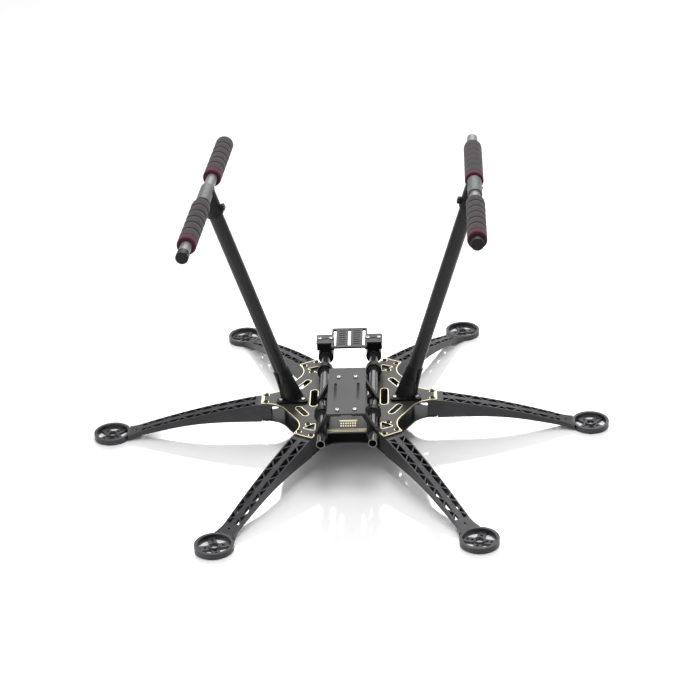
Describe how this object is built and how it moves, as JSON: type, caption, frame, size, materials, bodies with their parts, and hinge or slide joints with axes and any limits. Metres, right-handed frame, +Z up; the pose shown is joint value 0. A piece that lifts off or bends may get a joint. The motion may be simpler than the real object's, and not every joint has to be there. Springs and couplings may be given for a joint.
{
  "type": "hexacopter frame",
  "caption": "Multirotor drone frame with lattice arms on a circuit-board hub, sliding rails for a battery tray and camera plate, and tall skid landing gear with foam grips.",
  "frame": {"origin": "hub centre on the floor, where the inverted frame rests on its motor rings", "axes": "+X across the two skids towards the right one, +Y along the rails towards the camera plate, +Z up from the floor. In flight the frame is the other way up, so -Z is up."},
  "size_m": [0.592, 0.5182, 0.3131],
  "materials": {
    "circuit_board": "solder mask with gold-plated trim",
    "deck_laminate": "dark glass-fibre laminate",
    "arm_nylon": "moulded glass-filled nylon, satin",
    "black_steel": "black oxide",
    "bright_steel": "bright zinc",
    "black_nylon": "moulded nylon",
    "bush_rubber": "matt rubber",
    "rail_tube": "glossy wound tube",
    "grey_laminate": "satin laminate",
    "carbon_tube": "pultruded tube with a soft sheen",
    "skid_metal": "drawn tube, light grey",
    "grey_alloy": "bead-blasted, light grey",
    "foam": "closed-cell foam, matt",
    "maroon_foam": "dyed closed-cell foam, matt"
  },
  "bodies": {
    "frame": {"power_board": "circuit_board", "deck_plate": "deck_laminate", "arm_right": "arm_nylon", "arm_rear_right": "arm_nylon", "arm_rear_left": "arm_nylon", "arm_left": "arm_nylon", "arm_front_left": "arm_nylon", "arm_front_right": "arm_nylon", "board_screws": "black_steel", "deck_screws": "black_steel", "hanger_front_left": "black_nylon", "hanger_front_right": "black_nylon", "hanger_rear_left": "black_nylon", "hanger_rear_right": "black_nylon", "hanger_bush_front_left": "bush_rubber", "hanger_bush_front_right": "bush_rubber", "hanger_bush_rear_left": "bush_rubber", "hanger_bush_rear_right": "bush_rubber", "hanger_screws": "black_steel", "leg_socket_left": "black_nylon", "leg_socket_right": "black_nylon", "socket_bolts": "bright_steel", "socket_nuts": "bright_steel", "socket_set_screws": "black_steel"},
    "rails": {"rail_left": "rail_tube", "rail_right": "rail_tube"},
    "battery_carrier": {"battery_tray": "grey_laminate", "tray_clip_front_left": "black_nylon", "tray_clip_front_right": "black_nylon", "tray_clip_rear_left": "black_nylon", "tray_clip_rear_right": "black_nylon", "tray_screws": "bright_steel"},
    "camera_carrier": {"camera_plate": "grey_laminate", "camera_clamp_left": "black_nylon", "camera_clamp_right": "black_nylon", "camera_bush_left": "bush_rubber", "camera_bush_right": "bush_rubber", "camera_screws": "bright_steel"},
    "leg_left": {"leg_tube_left": "carbon_tube", "tee_left": "black_nylon", "tee_barrel_left": "grey_alloy", "tee_screws_left": "black_steel"},
    "leg_right": {"leg_tube_right": "carbon_tube", "tee_right": "black_nylon", "tee_barrel_right": "grey_alloy", "tee_screws_right": "black_steel"},
    "skid_left": {"skid_tube_left": "skid_metal", "skid_cap_left": "black_nylon"},
    "skid_right": {"skid_tube_right": "skid_metal", "skid_cap_right": "black_nylon", "skid_plug_right": "skid_metal"},
    "grip_near_left": {"grip_near_left": "foam", "grip_band_near_left": "maroon_foam"},
    "grip_near_right": {"grip_near_right": "foam", "grip_band_near_right": "maroon_foam"},
    "grip_far_left": {"grip_far_left": "foam", "grip_band_far_left": "maroon_foam"},
    "grip_far_right": {"grip_far_right": "foam", "grip_band_far_right": "maroon_foam"}
  },
  "joints": [
    {"name": "rail_slide", "type": "slide", "parent": "frame", "child": "rails", "axis": [0, 1, 0], "range_m": [-0.008, 0.012]},
    {"name": "tray_slide", "type": "slide", "parent": "rails", "child": "battery_carrier", "axis": [0, 1, 0], "range_m": [-0.01, 0.015]},
    {"name": "camera_slide", "type": "slide", "parent": "rails", "child": "camera_carrier", "axis": [0, 1, 0], "range_m": [-0.012, 0.002]},
    {"name": "leg_left_turn", "type": "hinge", "parent": "frame", "child": "leg_left", "pos_m": [-0.0645, 0, 0.045], "axis": [-0.299, 0, 0.9542], "range_deg": [-30, 30]},
    {"name": "leg_right_turn", "type": "hinge", "parent": "frame", "child": "leg_right", "pos_m": [0.0645, 0, 0.045], "axis": [0.299, 0, 0.9542], "range_deg": [-30, 30]},
    {"name": "skid_left_slide", "type": "slide", "parent": "leg_left", "child": "skid_left", "axis": [0.0682, 0.9974, 0.0214], "range_m": [-0.02, 0.001]},
    {"name": "skid_right_slide", "type": "slide", "parent": "leg_right", "child": "skid_right", "axis": [0.0233, 0.9997, -0.0073], "range_m": [-0.001, 0.008]},
    {"name": "grip_near_left_slide", "type": "slide", "parent": "skid_left", "child": "grip_near_left", "axis": [0.0682, 0.9974, 0.0214], "range_m": [-0.014, 0]},
    {"name": "grip_far_left_slide", "type": "slide", "parent": "skid_left", "child": "grip_far_left", "axis": [0.0682, 0.9974, 0.0214], "range_m": [-0.005, 0.01]},
    {"name": "grip_near_right_slide", "type": "slide", "parent": "skid_right", "child": "grip_near_right", "axis": [0.0233, 0.9997, -0.0073], "range_m": [0, 0.006]},
    {"name": "grip_far_right_slide", "type": "slide", "parent": "skid_right", "child": "grip_far_right", "axis": [0.0233, 0.9997, -0.0073], "range_m": [0, 0.012]}
  ]
}
